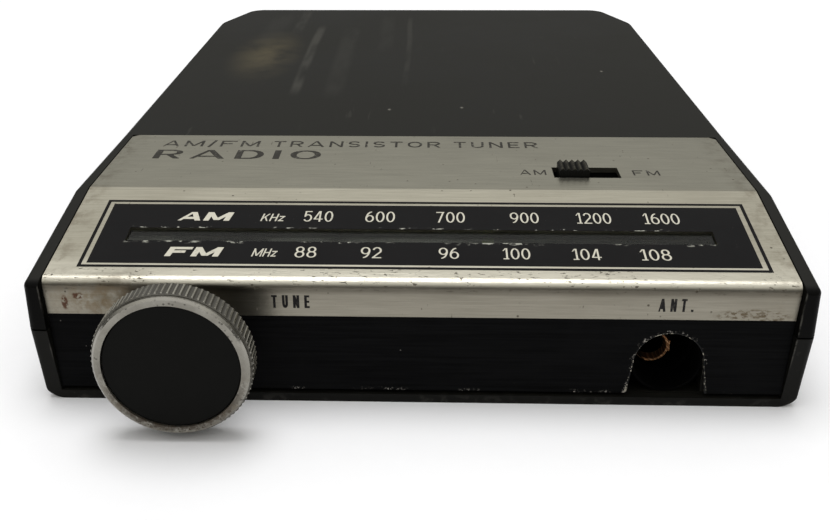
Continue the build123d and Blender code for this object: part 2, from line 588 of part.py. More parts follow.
def make_battery_leads():
    """Red and black wires from the battery connector to the board."""
    x = BATTERY[0] + BATTERY[3] + 2.5
    leads = []
    for i in range(2):
        start, run = 104.0 + 2.2 * i, x + 4.5 + 1.8 * i
        points = [(x, start, 10), (run, start, 10), (run, 95.5, 8), (run, 90.5, 8), (run, 90.5, BOARD_TOP + 0.05)]
        leads.append(wire_run(points, [1.9, 2.0, 1.5], 0.6))
    return leads


# ---- power switch worked by the player -----------------------------------------------------------
def make_power_plunger():
    y = LENGTH - POCKET[4]
    rod = rod_y(PLUNGER_X, SEAM, PLUNGER_R, y - 7.6, y + 2.0)
    tip = rod.edges().filter_by(GeomType.CIRCLE).sort_by(Axis.Y)[-1:]
    return fillet(tip, 0.8) + rod_y(PLUNGER_X, SEAM, 2.6, y - 2.4, y - 1.6)


def make_plunger_spring():
    """Compression spring between the plunger's flange and the switch."""
    y1 = LENGTH - POCKET[4] - 2.75
    y0, r, wire = y1 - 3.9, 2.1, 0.26
    path = Pos(PLUNGER_X, y0, SEAM) * Rot(-90, 0, 0) * Helix(pitch=0.78, height=y1 - y0, radius=r)
    return sweep(Plane(origin=path @ 0, z_dir=path % 0) * Circle(wire), path=path)


def make_power_switch():
    y = LENGTH - POCKET[4]
    body = block(PLUNGER_X - 4, PLUNGER_X + 4, y - 12.5, y - 6.95, FLOOR + 0.02, SEAM + 4)
    return body - rod_y(PLUNGER_X, SEAM, PLUNGER_R + 0.15, y - 10.5, y - 6)


PARTS = {
    "upper_shell": make_upper_shell,
    "lower_shell": make_lower_shell,
    "battery_door": make_battery_door,
    "case_screws": make_case_screws,
    "front_plate": make_front_plate,
    "dial_lens": make_dial_lens,
    "dial_backplate": make_dial_backplate,
    "dial_pointer": make_dial_pointer,
    "tuning_knob": make_tuning_knob,
    "knob_inlay": make_knob_inlay,
    "tuning_shaft": make_tuning_shaft,
    "shaft_clip": make_shaft_clip,
    "shaft_bushing": make_shaft_bushing,
    "bushing_nut": make_bushing_nut,
    "shaft_bracket": make_shaft_bracket,
    "dial_cord": make_dial_cord,
    "idler_pulley_left": lambda: make_idler_pulley(-1),
    "idler_pulley_right": lambda: make_idler_pulley(1),
    "pulley_posts": make_pulley_posts,
    "dial_drum": make_dial_drum,
    "cord_spring": make_cord_spring,
    "capacitor_spindle": make_capacitor_spindle,
    "tuning_capacitor": make_tuning_capacitor,
    "switch_button": make_switch_button,
    "switch_frame": make_switch_frame,
    "circuit_board": make_circuit_board,
    "if_transformers": make_if_transformers,
    "tuning_cores": make_tuning_cores,
    "ferrite_rod": make_ferrite_rod,
    "antenna_coil": make_antenna_coil,
    "rod_holders": make_rod_holders,
    "electrolytic_capacitors": make_electrolytic_capacitors,
    "transistors": make_transistors,
    "resistors": make_resistors,
    "ceramic_capacitors": make_ceramic_capacitors,
    "antenna_socket": make_antenna_socket,
    "socket_contact": make_socket_contact,
    "coupling_head": make_coupling_head,
    "head_bracket": make_head_bracket,
    "battery": make_battery,
    "battery_connector": make_battery_connector,
    "battery_leads": make_battery_leads,
    "power_plunger": make_power_plunger,
    "plunger_spring": make_plunger_spring,
    "power_switch": make_power_switch,
}


def export_all():
    """Write one STEP file for each named piece."""
    os.makedirs("parts", exist_ok=True)
    for name, make in PARTS.items():
        made = make()
        solids = [s for item in (made if isinstance(made, list) else [made]) for s in item.solids()]
        export_step(Pos(0, FACE_Y, 0) * Compound(children=solids), f"parts/{name}.step")


export_all()
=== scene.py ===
"""Looks of the cartridge tuner: worn aluminium front, printed dial, black shells, studio and camera."""
import math

import bmesh
import bpy
from mathutils import Matrix, Vector
from mathutils.geometry import delaunay_2d_cdt


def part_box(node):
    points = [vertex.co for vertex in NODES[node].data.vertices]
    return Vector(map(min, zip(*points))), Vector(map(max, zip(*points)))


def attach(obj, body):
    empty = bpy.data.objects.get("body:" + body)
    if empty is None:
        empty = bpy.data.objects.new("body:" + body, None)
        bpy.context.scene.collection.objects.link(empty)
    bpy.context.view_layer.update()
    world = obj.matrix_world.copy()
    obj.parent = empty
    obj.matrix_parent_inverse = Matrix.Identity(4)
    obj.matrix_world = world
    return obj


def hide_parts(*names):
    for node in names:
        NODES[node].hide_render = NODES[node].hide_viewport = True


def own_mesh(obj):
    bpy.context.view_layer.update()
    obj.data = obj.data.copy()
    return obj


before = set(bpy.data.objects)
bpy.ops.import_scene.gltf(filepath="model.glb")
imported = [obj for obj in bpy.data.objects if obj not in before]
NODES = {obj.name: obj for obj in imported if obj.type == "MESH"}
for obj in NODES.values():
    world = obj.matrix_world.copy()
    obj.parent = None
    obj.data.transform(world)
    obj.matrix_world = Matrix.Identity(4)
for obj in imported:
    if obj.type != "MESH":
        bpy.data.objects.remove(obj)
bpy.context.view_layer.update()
MM = 0.001

# ---- sizes in millimetres, in the row frame --------------------------------------------------------
plate_low, plate_high = (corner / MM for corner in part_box("front_plate"))
FACE_Y = plate_low.y               # outer face of the front plate
TOP = plate_high.z
BEND, NOSE_Z = 22.0, 18.0          # the plate slopes from the roof, BEND behind the face, down to NOSE_Z
STRIP_Z = 13.0                     # the bare strip of the front ends here, and black paint begins
SEAM_Z = 11.0                      # parting line between the two shells
PAINT_HALF, PAINT_BOTTOM = 48.3, 1.82
PAINT_FLARE = 0.25                 # the paint is wider by this much on each side at its top
PLATE_HALF, PLATE_FLARE = 48.25, 0.0419    # the plate's half width at the base, and its growth with height
SLOPE = math.atan2(TOP - NOSE_Z, BEND)
KNOB = [(a + b) / 2 / MM for a, b in zip(*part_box("knob_inlay"))]
KNOB_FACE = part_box("tuning_knob")[0].y / MM
KNOB_R = (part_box("tuning_knob")[1].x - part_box("tuning_knob")[0].x) / 2 / MM
INLAY_R = (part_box("knob_inlay")[1].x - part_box("knob_inlay")[0].x) / 2 / MM
SHAFT_HOLE_R = 3.75                # gap in the paint round the knob's shaft
ARCH_X, ARCH_Z, ARCH_R, ARCH_FOOT = 33.0, 6.35, 4.6, 5.4    # ARCH_FOOT: half width at the bottom
ARCH_LEAN = 0.16                   # the arch's legs come closer by this much on each side per millimetre
# on the slope: x from, to, and distance down the slope from, to
DIAL = (-43.9, 44.7, 4.5, 18.6)
BORDER, BORDER_LINE = (-44.98, 45.84, 3.48, 19.5), 0.46
WINDOW = (-40.1, 40.1, 10.4, 13.5)
INK = 0.03                         # thickness of paint and print
SPRING_WIRE_R, SPRING_TURNS = 0.26, 5


# ---- places on the plate ---------------------------------------------------------------------------
def slope_frame():
    """Turns (x, distance up the slope, height over it) into the row frame, from the upper bend."""
    turn = Matrix.Rotation(SLOPE, 4, "X")
    return Matrix.Translation((0, FACE_Y + BEND, TOP)) @ turn


def roof_frame():
    """Flat top: (x, y behind the face, height)."""
    return Matrix.Translation((0, FACE_Y, TOP))


def face_frame():
    """Upright front: (x, z, height in front of the face)."""
    return Matrix.Translation((0, FACE_Y, 0)) @ Matrix.Rotation(math.radians(90), 4, "X")


# ---- flat shapes -----------------------------------------------------------------------------------
def rectangle(x0, x1, y0, y1):
    return [(x0, y0), (x1, y0), (x1, y1), (x0, y1)]


def arc(cx, cy, rx, ry, start, end, steps=24):
    """Points along an ellipse, with angles in degrees."""
    angles = [math.radians(start + (end - start) * i / steps) for i in range(steps + 1)]
    return [(cx + rx * math.cos(a), cy + ry * math.sin(a)) for a in angles]


def ribbon(points, thick, thin):
    """Quads along a centre line, thick where it runs upright and thin where it runs level."""
    sides = []
    closed = math.dist(points[0], points[-1]) < 1e-6
    for i, (x, y) in enumerate(points):
        before = points[i - 1] if i else (points[-2] if closed else points[0])
        after = points[i + 1] if i + 1 < len(points) else (points[1] if closed else points[-1])
        dx, dy = after[0] - before[0], after[1] - before[1]
        run = math.hypot(dx, dy)
        half = math.hypot(thick * dy, thin * dx) / run / 2
        sides.append(((x - dy / run * half, y + dx / run * half), (x + dy / run * half, y - dx / run * half)))
    return [[a[0], a[1], b[1], b[0]] for a, b in zip(sides, sides[1:])]


# Each letter has a width and strokes in a unit box: "/" is a straight stroke cut level at both ends, with
# a share of the full thickness, "-" a level bar at a height, "o" part of an ellipse and points it runs on to.
LETTERS = {
    "0": (0.64, [("o", 0.5, 0.5, 0.5, 0.5, 0, 360)]),
    "1": (0.44, [("/", 0.75, 0, 0.75, 1), ("/", 0.0, 0.76, 0.6, 1.0, 0.7), ("-", 0.1, 1.0, 0)]),
    "2": (0.62, [("o", 0.5, 0.70, 0.5, 0.30, 165, -28, (0.5, 0.32), (0.0, 0.0)), ("-", 0, 1, 0)]),
    "4": (0.68, [("/", 0.0, 0.24, 0.62, 1), ("-", 0, 1, 0.22), ("/", 0.72, 0, 0.72, 1)]),
    "5": (0.62, [("-", 0.12, 0.92, 1), ("/", 0.06, 0.46, 0.12, 1), ("o", 0.46, 0.33, 0.54, 0.33, 140, -152)]),
    "6": (0.64, [("o", 0.5, 0.31, 0.5, 0.31, 0, 360), ("o", 0.80, 0.31, 0.80, 0.69, 180, 92)]),
    "7": (0.60, [("-", 0, 1, 1), ("/", 0.25, 0, 0.95, 0.95)]),
    "8": (0.64, [("o", 0.5, 0.76, 0.42, 0.24, 0, 360), ("o", 0.5, 0.27, 0.5, 0.27, 0, 360)]),
    "9": (0.64, [("o", 0.5, 0.69, 0.5, 0.31, 0, 360), ("o", 0.20, 0.69, 0.80, 0.69, 0, -88)]),
    "A": (0.96, [("/", 0, 0, 0.5, 1, 0.6), ("/", 1, 0, 0.5, 1), ("-", 0.18, 0.82, 0.24)]),
    "D": (0.78, [("/", 0, 0, 0, 1), ("-", 0, 0.5, 0), ("-", 0, 0.5, 1),
                 ("o", 0.45, 0.5, 0.55, 0.5, -90, 90)]),
    "E": (0.66, [("/", 0, 0, 0, 1), ("-", 0, 1, 0), ("-", 0, 0.9, 0.5), ("-", 0, 1, 1)]),
    "F": (0.92, [("/", 0, 0, 0, 1), ("-", 0, 0.70, 0.50), ("-", 0, 1, 1)]),
    "H": (0.78, [("/", 0, 0, 0, 1), ("/", 1, 0, 1, 1), ("-", 0, 1, 0.5)]),
    "I": (0.16, [("/", 0, 0, 0, 1)]),
    "K": (0.80, [("/", 0, 0, 0, 1), ("/", 0.10, 0.36, 0.95, 1), ("/", 1, 0, 0.38, 0.62)]),
    "M": (1.10, [("/", 0, 0, 0, 1), ("/", 1, 0, 1, 1), ("/", 0.5, 0.08, 0.0, 1), ("/", 0.5, 0.08, 1.0, 1)]),
    "N": (0.80, [("/", 0, 0, 0, 1), ("/", 1, 0, 1, 1), ("/", 1, 0, 0, 1)]),
    "O": (0.86, [("o", 0.5, 0.5, 0.5, 0.5, 0, 360)]),
    "R": (0.76, [("/", 0, 0, 0, 1), ("-", 0, 0.6, 1), ("-", 0, 0.6, 0.46), ("/", 1, 0, 0.5, 0.5),
                 ("o", 0.5, 0.73, 0.5, 0.27, -90, 90)]),
    "S": (0.70, [("o", 0.5, 0.75, 0.5, 0.25, 25, 270), ("o", 0.5, 0.25, 0.5, 0.25, 90, -155)]),
    "T": (0.72, [("-", 0, 1, 1), ("/", 0.5, 0, 0.5, 1)]),
    "U": (0.74, [("/", 0, 0.3, 0, 1), ("/", 1, 0.3, 1, 1), ("o", 0.5, 0.34, 0.5, 0.34, 180, 360)]),
    "z": (0.60, [("-", 0, 1, 0), ("-", 0, 1, 0.66), ("/", 0, 0.04, 1, 0.66)]),
    "/": (0.40, [("/", 0, -0.1, 1, 1.1)]),
    ".": (0.20, [("/", 0, 0, 0, 0.17)]),
}


def letter(char, wide, thick, thin):
    """Polygons of one letter of height 1, and its width."""
    width = LETTERS[char][0] * wide
    span, shapes = max(width - thick, 0.0), []
    for kind, *v in LETTERS[char][1]:
        if kind == "/":
            low, high, line = v[0] * span, v[2] * span, thick * (v[4] if len(v) > 4 else 1)
            shapes.append([(low, v[1]), (low + line, v[1]), (high + line, v[3]), (high, v[3])])
        elif kind == "-":
            y = v[2] * (1 - thin)
            shapes.append(rectangle(v[0] * span, v[1] * span + thick, y, y + thin))
        else:
            path = arc(*v[:6]) + list(v[6:])
            path = [(x * span + thick / 2, y * (1 - thin) + thin / 2) for x, y in path]
            shapes += ribbon(path, thick, thin)
    return shapes, max(width, thick)


def words(text, x0, x1, foot, height, wide=1.0, thick=0.15, thin=0.09, gap=0.13, lean=0.0):
    """Polygons of a text that reaches from x0 to x1 and stands on foot."""
    shapes, cursor = [], 0.0
    for char in text:
        if char == " ":
            cursor += 0.5 * wide
            continue
        made, advance = letter(char, wide, thick, thin)
        shapes += [[(px + cursor + lean * py, py) for px, py in shape] for shape in made]
        cursor += advance + gap
    stretch = (x1 - x0) / (cursor - gap + lean)
    return [[(x0 + px * stretch, foot + py * height) for px, py in shape] for shape in shapes]


def print_on(name, shapes, place, material, lift=0.0):
    """One thin closed layer of paint made of all the shapes joined, on a plane of the plate."""
    corners = [Vector(p) for shape in shapes for p in shape]
    outlines, start = [], 0
    for shape in shapes:
        outlines.append(list(range(start, start + len(shape))))
        start += len(shape)
    corners, _, faces, _, _, inside = delaunay_2d_cdt(corners, [], outlines, 1, 1e-5)
    bm = bmesh.new()
    verts = [bm.verts.new((p.x, p.y, lift)) for p in corners]
    for face, shape_numbers in zip(faces, inside):
        if shape_numbers:
            bm.faces.new([verts[i] for i in face])
    raised = bmesh.ops.extrude_face_region(bm, geom=list(bm.faces))
    top = [g for g in raised["geom"] if isinstance(g, bmesh.types.BMVert)]
    bmesh.ops.translate(bm, vec=(0, 0, INK), verts=top)
    bmesh.ops.delete(bm, geom=[v for v in bm.verts if not v.link_faces], context="VERTS")
    bmesh.ops.recalc_face_normals(bm, faces=bm.faces)
    bm.transform(Matrix.Scale(MM, 4) @ place)
    return piece(name, bm, material)


def piece(name, bm, material, body="case"):
    """An object made of the bmesh, which rides on the body."""
    mesh = bpy.data.meshes.new(name)
    bm.to_mesh(mesh)
    bm.free()
    obj = bpy.data.objects.new(name, mesh)
    bpy.context.scene.collection.objects.link(obj)
    mesh.materials.append(material)
    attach(obj, body)
    return obj


# ---- material nodes --------------------------------------------------------------------------------
class Finish:
    """A material under construction. Positions inside it are in millimetres in the row frame."""

    def __init__(self, name, **principled):
        self.material = bpy.data.materials.new(name)
        self.material.use_nodes = True
        self.tree = self.material.node_tree
        self.shader = self.tree.nodes["Principled BSDF"]
        coordinates = self.tree.nodes.new("ShaderNodeTexCoord").outputs["Object"]
        self.place = self.vector("SCALE", coordinates, scale=1 / MM)
        self.set(**principled)

    def plug(self, socket, value):
        if isinstance(value, bpy.types.NodeSocket):
            self.tree.links.new(value, socket)
        elif socket.type == "RGBA" and len(value) == 3:
            socket.default_value = (*value, 1)
        else:
            socket.default_value = value

    def set(self, **values):
        """Values or sockets for the surface's inputs, with _ for a space."""
        for name, value in values.items():
            self.plug(self.shader.inputs[name.replace("_", " ")], value)

    def maths(self, operation, a, b=0.0):
        node = self.tree.nodes.new("ShaderNodeMath")
        node.operation = operation
        self.plug(node.inputs[0], a)
        self.plug(node.inputs[1], b)
        return node.outputs[0]

    def vector(self, operation, a, b=None, scale=None):
        node = self.tree.nodes.new("ShaderNodeVectorMath")
        node.operation = operation
        self.plug(node.inputs[0], a)
        if b is not None:
            self.plug(node.inputs[1], b)
        if scale is not None:
            node.inputs["Scale"].default_value = scale
        return node.outputs["Value" if operation == "LENGTH" else "Vector"]

    def noise(self, size, detail=4.0, rough=0.55, stretch=(1, 1, 1), seed=0.0):
        """Noise from 0 to 1 whose features are about size millimetres across."""
        node = self.tree.nodes.new("ShaderNodeTexNoise")
        node.inputs["Scale"].default_value = 1.0
        node.inputs["Detail"].default_value = detail
        node.inputs["Roughness"].default_value = rough
        scaled = self.vector("MULTIPLY", self.place, [1 / (size * s) for s in stretch])
        self.plug(node.inputs["Vector"], self.vector("ADD", scaled, (seed, seed * 1.7, seed * 0.6)))
        return node.outputs["Fac"]

    def cells(self, size, seed=0.0):
        """Distance to the nearest of scattered points, about size millimetres apart."""
        node = self.tree.nodes.new("ShaderNodeTexVoronoi")
        node.inputs["Scale"].default_value = 1.0
        scaled = self.vector("MULTIPLY", self.place, [1 / size] * 3)
        self.plug(node.inputs["Vector"], self.vector("ADD", scaled, (seed, seed * 1.3, seed * 0.7)))
        return node.outputs["Distance"]

    def steps(self, value, low, high, out_low=0.0, out_high=1.0):
        """Smooth rise from out_low to out_high while value goes from low to high."""
        node = self.tree.nodes.new("ShaderNodeMapRange")
        node.interpolation_type = "SMOOTHSTEP"
        for name, v in (("From Min", low), ("From Max", high), ("To Min", out_low), ("To Max", out_high)):
            self.plug(node.inputs[name], v)
        self.plug(node.inputs["Value"], value)
        return node.outputs["Result"]

    def near(self, point, radius, stretch=(1, 1, 1)):
        """1 at a point, fading to 0 at the radius."""
        offset = self.vector("SUBTRACT", self.place, point)
        offset = self.vector("MULTIPLY", offset, [1 / s for s in stretch])
        return self.steps(self.vector("LENGTH", offset), 0.0, radius, 1.0, 0.0)

    def between(self, value, low, high, soft):
        """1 from low to high, fading over soft at both ends."""
        return self.times(self.steps(value, low - soft, low), self.steps(value, high, high + soft, 1.0, 0.0))

    def axis(self, name):
        node = self.tree.nodes.new("ShaderNodeSeparateXYZ")
        self.plug(node.inputs[0], self.place)
        return node.outputs[name]

    def times(self, *values):
        total = values[0]
        for value in values[1:]:
            total = self.maths("MULTIPLY", total, value)
        return total

    def most(self, *values):
        total = values[0]
        for value in values[1:]:
            total = self.maths("MAXIMUM", total, value)
        return total

    def mix(self, share, a, b):
        """Colours a and b mixed."""
        node = self.tree.nodes.new("ShaderNodeMix")
        node.data_type = "RGBA"
        self.plug(node.inputs[0], share)
        self.plug(node.inputs[6], a)
        self.plug(node.inputs[7], b)
        return node.outputs[2]

    def blend(self, share, a, b):
        """Numbers a and b mixed."""
        node = self.tree.nodes.new("ShaderNodeMix")
        self.plug(node.inputs[0], share)
        self.plug(node.inputs[2], a)
        self.plug(node.inputs[3], b)
        return node.outputs[0]

    def bump(self, height, depth):
        """Relief of the given depth in millimetres, on top of any earlier one."""
        node = self.tree.nodes.new("ShaderNodeBump")
        node.inputs["Strength"].default_value = 1.0
        node.inputs["Distance"].default_value = depth * MM
        self.plug(node.inputs["Height"], height)
        earlier = self.shader.inputs["Normal"].links
        if earlier:
            self.plug(node.inputs["Normal"], earlier[0].from_socket)
        self.plug(self.shader.inputs["Normal"], node.outputs[0])


# ---- materials -------------------------------------------------------------------------------------
BLACK_PAINT = (0.0032, 0.0033, 0.0035)
# long marks on the roof: x, y from, to, width, strength
RUBS = [(-25.0, 8, 52, 1.8, 0.22), (-17.5, 6, 50, 3.4, 0.06), (-3.6, 14, 62, 1.1, 0.10),
        (-9.0, 40, 64, 3.0, 0.04), (-30.5, 58, 70, 2.2, 0.14), (-36.0, 44, 66, 5.0, 0.04)]
# small light nicks on the roof
NICKS = [(-6.0, -8.3, TOP), (7.2, -7.0, TOP), (36.5, 18.0, TOP)]


def black_plastic(name, tone):
    """Satin moulded plastic, slightly warm, with dust, rub marks, a greasy smudge, small nicks, and painted
    shade on its front faces.
    """
    m = Finish(name, Specular_IOR_Level=0.10)
    x, y, z = m.axis("X"), m.axis("Y"), m.axis("Z")
    cloud = m.noise(34, 3, seed=2.0)
    colour = m.mix(m.steps(cloud, 0.30, 0.70), [0.78 * t for t in tone], [1.25 * t for t in tone])
    roof = m.steps(z, TOP - 0.3, TOP - 0.1)
    wander = m.maths("MULTIPLY", m.maths("SUBTRACT", m.noise(40, 1, seed=12.0), 0.5), 1.4)
    across = m.maths("ADD", x, wander)
    broken = m.steps(m.noise(14, 2, stretch=(0.25, 1, 1), seed=13.0), 0.22, 0.60)
    for at, low, high, width, strength in RUBS:
        mark = m.times(m.between(across, at - width / 4, at + width / 4, width / 2),
                       m.between(y, low, high, 9), roof, broken, strength)
        colour = m.mix(mark, colour, (0.125, 0.120, 0.105))
    smudge = m.times(m.near((-34.5, 31, TOP), 15, (0.62, 1.7, 1)),
                     m.steps(m.noise(9, 3, seed=14.0), 0.20, 0.65))
    colour = m.mix(m.times(smudge, 0.62), colour, (0.088, 0.072, 0.040))
    dust = m.times(m.steps(m.noise(0.30, 2, seed=3.0), 0.70, 0.80),
                   m.steps(m.noise(6, 2, seed=6.0), 0.50, 0.62))
    colour = m.mix(m.times(dust, 0.35), colour, (0.16, 0.15, 0.13))
    scuff = m.times(m.steps(m.noise(0.8, 3, stretch=(1, 14, 1), seed=5.0), 0.64, 0.74),
                    m.steps(m.noise(16, 2, seed=9.0), 0.50, 0.64))
    colour = m.mix(m.times(scuff, 0.09), colour, (0.13, 0.125, 0.11))
    for spot in NICKS:
        colour = m.mix(m.times(m.near(spot, 0.62, (0.7, 1.2, 1)), 0.7), colour, (0.20, 0.19, 0.165))
    # light wear on the cheeks' inner edges and on the sill's upper edge
    side = m.maths("ABSOLUTE", x)
    plate_edge = m.maths("ADD", m.maths("MULTIPLY", z, PLATE_FLARE), PLATE_HALF)
    lip = m.times(m.between(m.maths("SUBTRACT", side, plate_edge), -0.02, 0.10, 0.12),
                  m.steps(y, FACE_Y - 0.6, FACE_Y - 0.9))
    sill = m.times(m.between(z, 1.12, 1.32, 0.06), m.steps(y, FACE_Y - 0.3, FACE_Y - 0.7),
                   m.steps(side, 49.4, 48.4))
    worn = m.times(m.most(lip, m.times(sill, 0.4)), m.steps(m.noise(2.6, 4, 0.65, seed=19.0), 0.44, 0.60))
    colour = m.mix(m.times(worn, 0.75), colour, (0.11, 0.105, 0.092))
    rim = m.times(m.steps(z, 1.6, 0.3), m.steps(m.noise(2.0, 4, seed=15.0), 0.50, 0.62))
    colour = m.mix(m.times(rim, 0.35), colour, (0.09, 0.085, 0.075))
    # painted shade: the cheeks' front faces and the sill are painted the blackest, most of all above the seam
    painted_front_shade = m.times(m.steps(y, FACE_Y + 0.5, FACE_Y - 0.6),
                     m.blend(m.steps(z, SEAM_Z - 0.2, SEAM_Z + 0.2), 0.40, 0.90))
    unworn = m.maths("SUBTRACT", 1.0, m.times(worn, 0.6))
    colour = m.mix(m.times(painted_front_shade, unworn), colour, (0.0008, 0.0008, 0.0007))
    m.set(Base_Color=colour)
    m.set(Roughness=m.blend(m.steps(cloud, 0.3, 0.7), 0.42, 0.54))
    m.set(Specular_IOR_Level=m.blend(painted_front_shade, 0.10, 0.05))
    m.bump(m.noise(0.30, 3, seed=1.0), 0.007)
    return m.material


def brushed_aluminium(name):
    """Sheet brushed across its width, with fine lines, pits and stains, a painted highlight along the bend,
    painted shade on the flat part and the upright strip, and black below the strip.
    """
    m = Finish(name, Metallic=1.0)
    x, y, z = m.axis("X"), m.axis("Y"), m.axis("Z")
    grain = m.noise(0.12, 3, 0.6, stretch=(60, 1, 1), seed=4.0)
    streak = m.noise(0.30, 4, 0.7, stretch=(34, 1, 1), seed=8.0)
    cloud = m.noise(16, 4, seed=6.0)
    colour = m.mix(m.steps(streak, 0.25, 0.75), (0.355, 0.335, 0.272), (0.455, 0.430, 0.355))
    colour = m.mix(m.times(m.steps(cloud, 0.45, 0.72), 0.28), colour, (0.29, 0.265, 0.21))
    # painted shade: the flat part is painted a little duller and cooler
    flat = m.steps(y, FACE_Y + BEND - 1.0, FACE_Y + BEND + 1.5)
    colour = m.mix(m.times(flat, 0.30), colour, (0.34, 0.345, 0.295))
    # a painted highlight: a brighter band painted along the bend
    painted_highlight_band = m.times(m.steps(z, NOSE_Z + 1.1, NOSE_Z + 0.5), m.steps(z, NOSE_Z - 0.9, NOSE_Z - 0.5))
    colour = m.mix(m.times(painted_highlight_band, 0.55), colour, (0.66, 0.63, 0.54))
    # painted shade: the upright strip is painted duller than the slope, and darkest, in patches, just under
    # the bend
    upright = m.times(m.steps(z, 17.9, 16.9), m.blend(m.steps(z, 16.9, 14.0), 0.50, 0.40))
    colour = m.mix(upright, colour, (0.05, 0.04, 0.03))
    under = m.times(m.steps(z, 17.75, 17.25), m.steps(z, 16.0, 16.9))
    patches = m.blend(m.noise(3, 4, 0.65, stretch=(2, 1, 1), seed=25.0), 0.35, 0.75)
    colour = m.mix(m.times(under, patches), colour, (0.05, 0.042, 0.032))
    # beside the knob, a brown stain joined with the knob's painted shadow
    knob_shadow_and_stain = m.times(m.near((KNOB[0] - 8.5, FACE_Y, 15.0), 6.5),
                      m.steps(m.noise(2.0, 4, seed=26.0), 0.30, 0.60))
    colour = m.mix(m.times(knob_shadow_and_stain, 0.75), colour, (0.085, 0.066, 0.040))
    # grime collected along both sides
    sides = m.steps(m.maths("ABSOLUTE", x), 44.0, 48.8)
    grime = m.times(sides, m.steps(m.noise(2.4, 5, 0.7, seed=10.0), 0.42, 0.66))
    colour = m.mix(m.times(grime, 0.50), colour, (0.16, 0.13, 0.09))
    # short scratches, pits all over, and pits and dents crowded along the lower bend
    scratch = m.times(m.steps(m.noise(0.35, 2, stretch=(1, 9, 4), seed=20.0), 0.70, 0.76),
                      m.steps(m.noise(5, 2, seed=21.0), 0.52, 0.60))
    along = m.times(m.steps(m.noise(0.34, 3, 0.6, stretch=(2.6, 1, 1), seed=22.0), 0.595, 0.645),
                    m.between(y, FACE_Y - 1, FACE_Y + 2.4, 1.2), m.steps(z, 16.4, 17.2),
                    m.steps(m.noise(4, 3, seed=23.0), 0.44, 0.56))
    dents = m.times(m.noise(0.9, 4, 0.65, stretch=(2.5, 1, 1), seed=27.0),
                    m.between(y, FACE_Y - 1, FACE_Y + 2.0, 1.5))
    pits = m.times(m.steps(m.cells(1.7, seed=2.0), 0.13, 0.07), m.steps(m.noise(6, 2, seed=7.0), 0.48, 0.58))
    bare = m.most(pits, along, scratch)
    colour = m.mix(m.times(bare, 0.85), colour, (0.055, 0.045, 0.03))
    # brown stains beside the knob and at the right-hand end of the strip, and rust at the left-hand end
    left = m.times(m.near((-41.0, FACE_Y, 15.0), 9.5, (1, 1, 0.42)),
                   m.steps(m.noise(1.3, 5, 0.7, seed=11.0), 0.36, 0.60))
    right = m.times(m.steps(m.near((43.0, FACE_Y, 13.6), 6.5, (1, 1, 0.22)), 0.0, 0.45),
                    m.steps(m.noise(0.6, 5, 0.75, stretch=(2.2, 1, 1), seed=16.0), 0.47, 0.57))
    colour = m.mix(m.times(left, 0.70), colour, (0.13, 0.092, 0.05))
    colour = m.mix(m.times(right, 0.80), colour, (0.075, 0.052, 0.026))
    marks = m.most(m.near((-46.1, FACE_Y, 14.7), 1.5, (0.42, 1, 1)),
                   m.near((-44.3, FACE_Y, 15.7), 1.4, (0.8, 1, 0.5)))
    rust = m.times(m.steps(marks, 0.05, 0.5), m.steps(m.noise(0.5, 3, seed=17.0), 0.36, 0.50))
    colour = m.mix(m.times(rust, 0.9), colour, (0.075, 0.025, 0.010))
    # everything below the bare strip is painted, with chips along the cut edges
    below = m.steps(z, STRIP_Z - 0.02, STRIP_Z - 0.10)
    chips = m.steps(m.noise(0.45, 3, seed=18.0), 0.53, 0.58)
    painted = m.times(below, m.maths("SUBTRACT", 1.0, m.times(chips, m.steps(y, FACE_Y + 0.9, FACE_Y + 0.2))))
    inside = m.steps(y, FACE_Y + 1.6, FACE_Y + 0.9)
    painted = m.times(painted, inside)
    colour = m.mix(painted, colour, BLACK_PAINT)
    m.set(Base_Color=colour)
    m.set(Metallic=m.times(m.blend(m.most(bare, rust), 1.0, 0.25), m.maths("SUBTRACT", 1.0, painted)))
    m.set(Roughness=m.steps(grain, 0.2, 0.8, 0.26, 0.42), Specular_IOR_Level=0.15)
    m.bump(grain, 0.0045)
    m.bump(dents, 0.05)
    m.bump(m.maths("SUBTRACT", 1.0, bare), 0.02)
    return m.material


def dial_paint(name):
    """Black paint on the slope, chipped to bare metal along the window's edges."""
    m = Finish(name)
    x, y = m.axis("X"), m.axis("Y")
    down = m.maths("MULTIPLY", m.maths("SUBTRACT", FACE_Y + BEND, y), 1 / math.cos(SLOPE))
    upper = m.steps(m.maths("ABSOLUTE", m.maths("SUBTRACT", down, WINDOW[2])), 0.55, 0.0)
    lower = m.steps(m.maths("ABSOLUTE", m.maths("SUBTRACT", down, WINDOW[3])), 0.75, 0.0)
    inside = m.steps(m.maths("ABSOLUTE", x), WINDOW[1] + 0.3, WINDOW[1] - 0.4)
    flecks = m.noise(0.55, 3, 0.6, stretch=(1.8, 1, 1), seed=2.0)
    places = m.steps(m.noise(4.5, 3, seed=5.0), 0.47, 0.56)
    edge = m.maths("ADD", m.times(upper, 0.075), m.times(lower, 0.125))
    chips = m.times(m.steps(m.maths("ADD", flecks, edge), 0.625, 0.655), m.most(upper, lower), inside, places)
    dust = m.times(m.steps(m.noise(0.28, 2, seed=3.0), 0.70, 0.78),
                   m.steps(m.noise(5, 2, seed=4.0), 0.50, 0.60))
    colour = m.mix(m.noise(7, 3, seed=1.0), (0.0045, 0.0043, 0.0048), (0.0082, 0.0078, 0.0082))
    colour = m.mix(m.times(dust, 0.5), colour, (0.12, 0.11, 0.10))
    colour = m.mix(chips, colour, (0.40, 0.40, 0.35))
    m.set(Base_Color=colour, Metallic=m.times(chips, 0.8), Specular_IOR_Level=0.05)
    m.set(Roughness=m.blend(m.noise(3, 3, seed=6.0), 0.34, 0.52))
    m.bump(m.noise(0.25, 3, stretch=(14, 1, 1), seed=7.0), 0.004)
    return m.material


